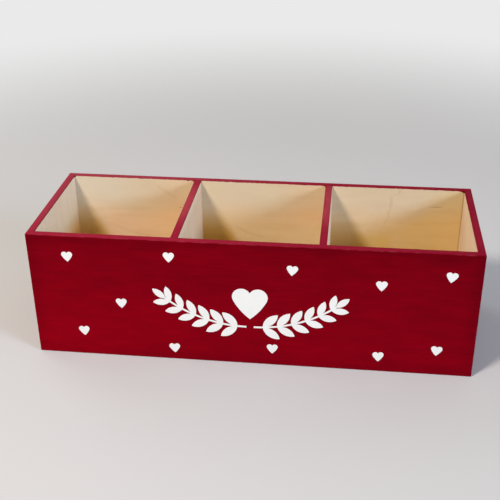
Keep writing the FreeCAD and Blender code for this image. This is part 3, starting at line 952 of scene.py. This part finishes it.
def markLeftEnd(tree, axes, bare, stained):
    y, z = axes[1:]
    # painted shade, browner half way down near the back wall
    dimmed = fadeIn(z, crossMarks["leftEndHeights"]) * fadeIn(y, crossMarks["leftEndReach"])
    dimmed = dimmed * fadeIn(z, crossMarks["leftEndFoot"], crossMarks["leftEndFootShare"])
    bare = tree.blend(dimmed, bare, crossMarks["leftEndPaintedShade"], "MULTIPLY")
    band = fadeIn(z, crossMarks["bandStarts"]) * fadeIn(z, crossMarks["bandEnds"])
    bare = tree.blend(band, bare, crossMarks["band"], "MULTIPLY")
    return bare, paleRimPatch(tree, axes, stained, crossMarks["leftEndRim"])


def markLeftPartition(tree, axes, bare, stained):
    # painted shade on the right face, darker below the rim
    onRight = fadeIn(leftDividerHigh[0] - axes[0], crossMarks["partitionDepths"])
    dimmed = onRight * fadeIn(axes[2], crossMarks["partitionHeights"])
    bare = tree.blend(dimmed, bare, crossMarks["partitionPaintedShade"], "MULTIPLY")
    return bare, paleRimPatch(tree, axes, stained, crossMarks["leftPartitionRim"])


def markRightPartition(tree, axes, bare, stained):
    return bare, paleRimPatch(tree, axes, stained, crossMarks["rightPartitionRim"])


def dress(piece, material):
    piece.data.materials.clear()
    piece.data.materials.append(material)


# The last number shifts the wood's patterns, so that no two sheets are alike
dress(frontWall, longWallMaterial("stainedFrontPly", frontLow[1], 1, frontDips, None, 3.7))
dress(backWall, longWallMaterial("stainedBackPly", backHigh[1], -1, backDips, markBackWall, 11.3))
dress(leftEnd, endWallMaterial("stainedLeftPly", leftLow[0], 1, paleBirch, markLeftEnd, 19.1))
dress(rightEnd, endWallMaterial("stainedRightPly", rightHigh[0], -1, warmBirch, None, 27.9))
dress(leftPartition, partitionMaterial("bareLeftPly", leftDividerLow[0], markLeftPartition, 35.2))
dress(rightPartition, partitionMaterial("bareRightPly", rightDividerLow[0], markRightPartition, 43.6))
dress(board, boardMaterial("bareBottomPly", 51.4))
print("ply finished")

film = {
    "white": colour(239, 245, 252),
    "shaded": colour(233, 239, 246),
    "clouds": 9.0,           # size of the shading's clouds
    "cloudLimits": (0.35, 0.75),
    "cloudShare": 0.6,
    "grain": (14.0, 1.0, 0.5),  # sizes along the wood's grain, into it and across
    "bump": 0.006,
    "roughness": 0.34,
    "roughClouds": 0.12,
}
pinWire = {
    "dark": colour(176, 174, 170),
    "bright": colour(204, 203, 200),
    "lineLength": 3.0,
    "lineWidth": 0.05,
    "roughness": 0.26,
    "roughLines": 0.2,
}
filler = {
    "grains": 0.12,          # size of its grains
    "grainShare": 0.7,
    "bump": 0.01,
    "roughness": 0.55,
    "roughGrains": 0.2,
}


def filmMaterial():
    # cut vinyl: nearly even white, with the wood's grain just showing through it
    material, tree = newMaterial("whiteFilm")
    x, y, z = tree.split(tree.millimetres())
    size = film["clouds"]
    cloud = tree.noise(tree.vector(x / size, y / size, z / size), 2)
    long, deep, wide = film["grain"]
    grain = tree.noise(tree.vector(x / long, y / deep, z / wide), 2)
    bump = tree.node("ShaderNodeBump", inputs={"Distance": film["bump"] * mm, "Height": grain})
    shading = cloud.rise(*film["cloudLimits"]) * film["cloudShare"]
    surface = {
        "Base Color": tree.blend(shading, film["white"], film["shaded"]),
        "Roughness": film["roughness"] + (cloud - 0.5) * film["roughClouds"],
        "Normal": bump,
    }
    tree.finish("ShaderNodeOutputMaterial", tree.node("ShaderNodeBsdfPrincipled", inputs=surface))
    return material


def wireMaterial():
    # bright drawn wire, with fine lines from front to back, as most of the pins run
    material, tree = newMaterial("drawnWire")
    x, y, z = tree.split(tree.millimetres())
    long, wide = pinWire["lineLength"], pinWire["lineWidth"]
    lines = tree.noise(tree.vector(x / wide, y / long, z / wide), 2)
    surface = {
        "Base Color": tree.blend(lines, pinWire["dark"], pinWire["bright"]),
        "Metallic": 1,
        "Roughness": pinWire["roughness"] + lines * pinWire["roughLines"],
    }
    tree.finish("ShaderNodeOutputMaterial", tree.node("ShaderNodeBsdfPrincipled", inputs=surface))
    return material


def fillerMaterial():
    # wood filler takes the stain a little more dully than the ply
    material, tree = newMaterial("stainedFiller")
    x, y, z = tree.split(tree.millimetres())
    size = filler["grains"]
    grains = tree.noise(tree.vector(x / size, y / size, z / size), 3, 0.7)
    bump = tree.node("ShaderNodeBump", inputs={"Distance": filler["bump"] * mm, "Height": grains})
    surface = {
        "Base Color": tree.blend(grains * filler["grainShare"], stain["deep"], stain["bright"]),
        "Roughness": filler["roughness"] + (grains - 0.5) * filler["roughGrains"],
        "Normal": bump,
        "Specular IOR Level": stain["specular"],
    }
    tree.finish("ShaderNodeOutputMaterial", tree.node("ShaderNodeBsdfPrincipled", inputs=surface))
    return material


smallPieces = {
    "white_film": filmMaterial(),
    "steel_wire": wireMaterial(),
    "stained_filler": fillerMaterial(),
}
for part in frame["record"]["subparts"]:
    if part["material_slot"] in smallPieces:
        piece = frame["nodes"][part["node"]]
        dress(piece, smallPieces[part["material_slot"]])
print("films, pins and fillers finished")

# A plain pale floor, a disc, and the light that comes from all round
stage = {
    "floorRadius": 6000.0,
    "floorSides": 96,
    "floorRings": 8,
    "floorSeen": colour(190, 194, 203),
    "floorDim": colour(150, 146, 140),      # what the floor throws back onto the box
    "floorRoughness": 0.7,
    "floorClouds": 40.0,
    "roughClouds": 0.1,
    "floorSpecular": 0.1,
    "background": colour(234, 234, 234),
    "plain": (350.0, 900.0),                # from the middle, where it passes into the background
    "surround": (0.405, 0.355, 0.27, 1),
}
# A warm lamp from the upper left, a cooler and lower one from the right, a weak broad one from behind:
# the direction from the middle of the box, how far off it is, how wide, its light and its watts
lamps = {
    "key": {
        "towards": (-0.385, -0.51, 0.77),
        "away": 1500.0,
        "size": 300.0,
        "light": (1.0, 0.87, 0.72),
        "watts": 19.3,
    },
    "fill": {
        "towards": (0.8, -0.47, 0.36),
        "away": 2500.0,
        "size": 750.0,
        "light": (0.61, 0.75, 0.96),
        "watts": 44.0,
    },
    "back": {
        "towards": (-0.7, 0.5, 0.5),
        "away": 2500.0,
        "size": 1600.0,
        "light": (1.0, 1.0, 1.0),
        "watts": 12.0,
    },
}


def seenDirectly(tree):
    # 1 for camera, glossy and transmission rays, 0 for the light that falls on the box
    rays = tree.node(
        "ShaderNodeLightPath", output=("Is Camera Ray", "Is Glossy Ray", "Is Transmission Ray")
    )
    return rays[0].most(rays[1]).most(rays[2])


def floorMesh():
    # a disc: rings of points whose radius grows evenly from the middle outwards
    turn = np.linspace(0, 2 * math.pi, stage["floorSides"] + 1)[:-1]
    radius = np.linspace(0, 1, stage["floorRings"] + 1)[1:] * stage["floorRadius"]
    across = (radius[:, None] * np.cos(turn)).ravel()
    back = (radius[:, None] * np.sin(turn)).ravel()
    points = np.vstack([[0, 0, 0], np.stack([across, back, 0 * across], axis=-1)])
    ring = 1 + np.arange(len(turn))
    following = np.roll(ring, -1)
    faces = [(0, first, second) for first, second in zip(ring, following)]
    for step in range(len(radius) - 1):
        inside = step * len(turn)
        outside = inside + len(turn)
        faces += list(zip(ring + inside, ring + outside, following + outside, following + inside))
    mesh = bpy.data.meshes.new("floor")
    mesh.from_pydata((points * mm).tolist(), [], [[int(i) for i in face] for face in faces])
    return mesh


def floorMaterial():
    material, tree = newMaterial("paleFloor")
    x, y, z = tree.split(tree.millimetres())
    cloud = tree.noise(tree.vector(x / stage["floorClouds"], y / stage["floorClouds"], z), 3)
    seen = seenDirectly(tree)
    surface = {
        "Base Color": tree.blend(seen, stage["floorDim"], stage["floorSeen"]),
        "Roughness": stage["floorRoughness"] + (cloud - 0.5) * stage["roughClouds"],
        "Specular IOR Level": stage["floorSpecular"],
    }
    near = tree.node("ShaderNodeBsdfPrincipled", inputs=surface)
    far = tree.node("ShaderNodeEmission", inputs={"Color": stage["background"]})
    plain = edgeDistance(x, y).rise(*stage["plain"]) * seen
    mixed = tree.node("ShaderNodeMixShader", inputs={0: plain, 1: near, 2: far})
    tree.finish("ShaderNodeOutputMaterial", mixed)
    return material


def makeFloor():
    floor = bpy.data.objects.new("floor", floorMesh())
    bpy.context.scene.collection.objects.link(floor)
    dress(floor, floorMaterial())


def makeLamps():
    middle = np.array([0, 0, rim / 2])
    for name, values in lamps.items():
        data = bpy.data.lights.new(name + "Lamp", "AREA")
        data.shape = "DISK"
        data.size = values["size"] * mm
        data.energy = values["watts"]
        data.color = values["light"]
        lamp = bpy.data.objects.new(name + "Lamp", data)
        towards = np.array(values["towards"]) / np.linalg.norm(values["towards"])
        away = Matrix.Translation((middle + towards * values["away"]) * mm)
        facing = Vector(-towards).to_track_quat("-Z", "Y").to_matrix().to_4x4()
        lamp.matrix_world = away @ facing
        lamp.visible_camera = False
        bpy.context.scene.collection.objects.link(lamp)


def makeSurround():
    world = bpy.data.worlds.new("studio")
    bpy.context.scene.world = world
    tree = NodeTree(world)
    seen = tree.blend(seenDirectly(tree), stage["surround"], stage["background"])
    tree.finish("ShaderNodeOutputWorld", tree.node("ShaderNodeBackground", inputs={"Color": seen}))


makeFloor()
makeLamps()
makeSurround()
bpy.context.scene.view_settings.view_transform = "Standard"
print("stage set")
